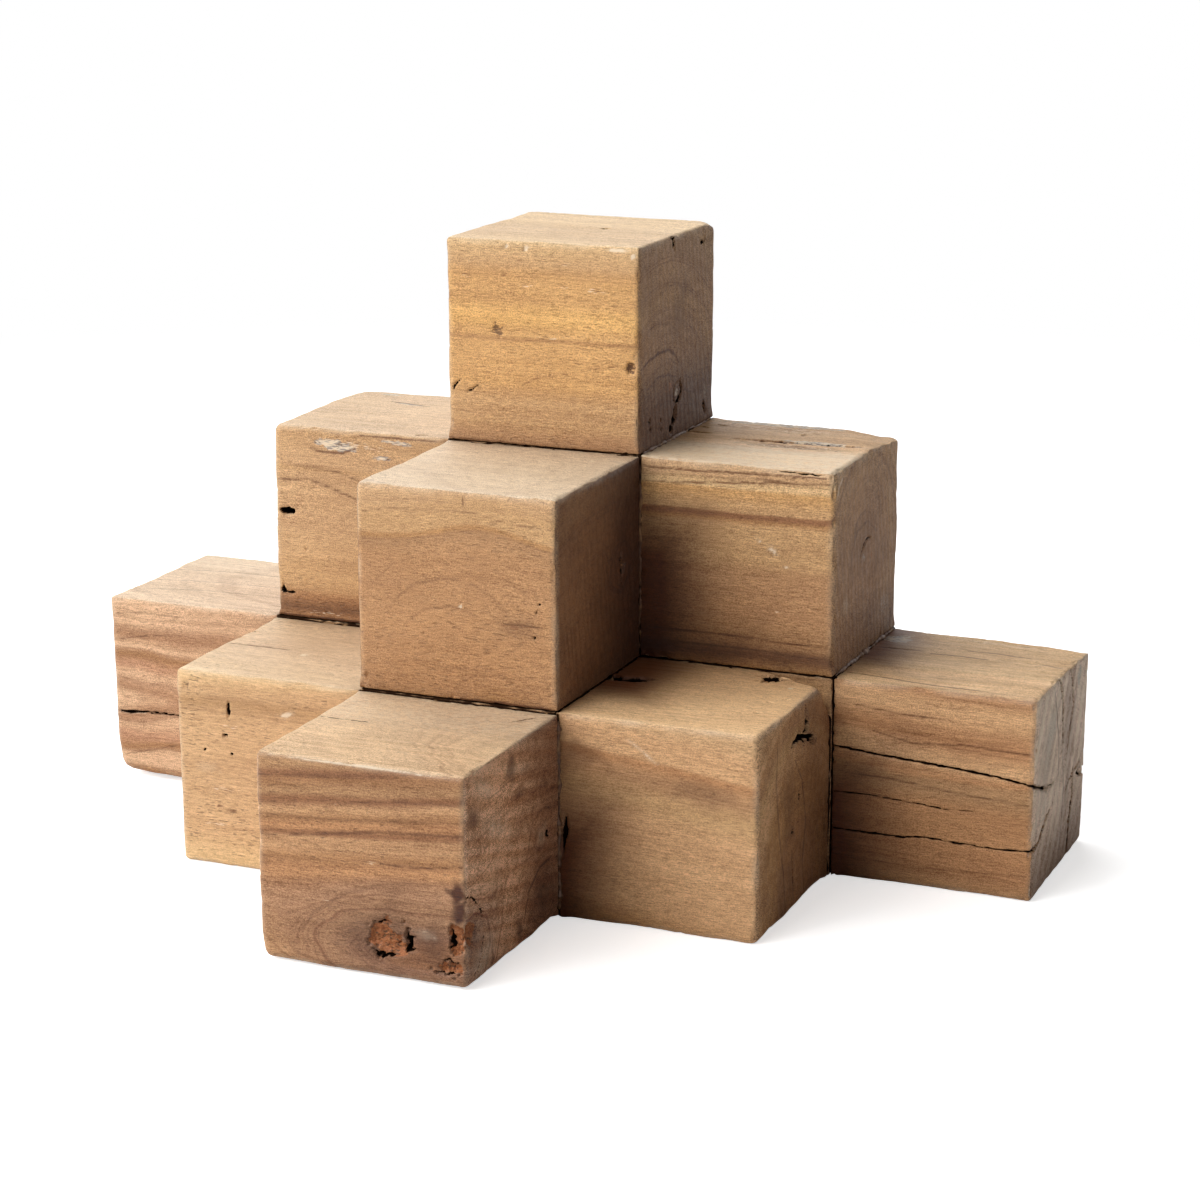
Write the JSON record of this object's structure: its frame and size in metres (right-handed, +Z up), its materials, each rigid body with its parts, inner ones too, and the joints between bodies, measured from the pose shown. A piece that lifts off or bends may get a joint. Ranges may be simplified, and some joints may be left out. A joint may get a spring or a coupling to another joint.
{
  "type": "stepped stack of wooden cubes",
  "caption": "Reclaimed timber cubes glued face to face into a stepped half pyramid with a flat back, for a shelf or desk as a riser, bookend or sculpture.",
  "frame": {"origin": "on the surface that the stack stands on, under the middle of its bounding box", "axes": "+X along the long row of cubes to the right as seen from the stepped front, +Y towards the flat back, +Z up"},
  "size_m": [0.5, 0.3, 0.3],
  "materials": {
    "golden_wood": "dry sanded wood, golden, with torn specks",
    "tan_wood": "dry sanded wood, tan",
    "golden_brown_wood": "dry sanded wood, golden brown with dark lines",
    "figured_wood": "dry sanded wood, reddish brown stripes round knots",
    "brown_wood": "dry sanded wood, brown, cracked, with a weathered end",
    "pale_wood": "dry sanded wood, pale and pored",
    "dried_glue": "dried wood glue, dusty and yellowish"
  },
  "bodies": {
    "root": {"top_cube": "golden_wood", "middle_left_cube": "tan_wood", "middle_core_cube": "tan_wood", "middle_right_cube": "golden_brown_wood", "middle_front_cube": "tan_wood", "bottom_far_left_cube": "figured_wood", "bottom_back_left_cube": "tan_wood", "bottom_back_middle_cube": "golden_brown_wood", "bottom_back_right_cube": "tan_wood", "bottom_far_right_cube": "brown_wood", "bottom_left_cube": "pale_wood", "bottom_core_cube": "tan_wood", "bottom_right_cube": "golden_brown_wood", "bottom_front_cube": "figured_wood", "top_glue_bead": "dried_glue", "middle_seam_glue_bead": "dried_glue", "middle_right_glue_bead": "dried_glue", "bottom_seam_glue_bead": "dried_glue"}
  },
  "joints": []
}
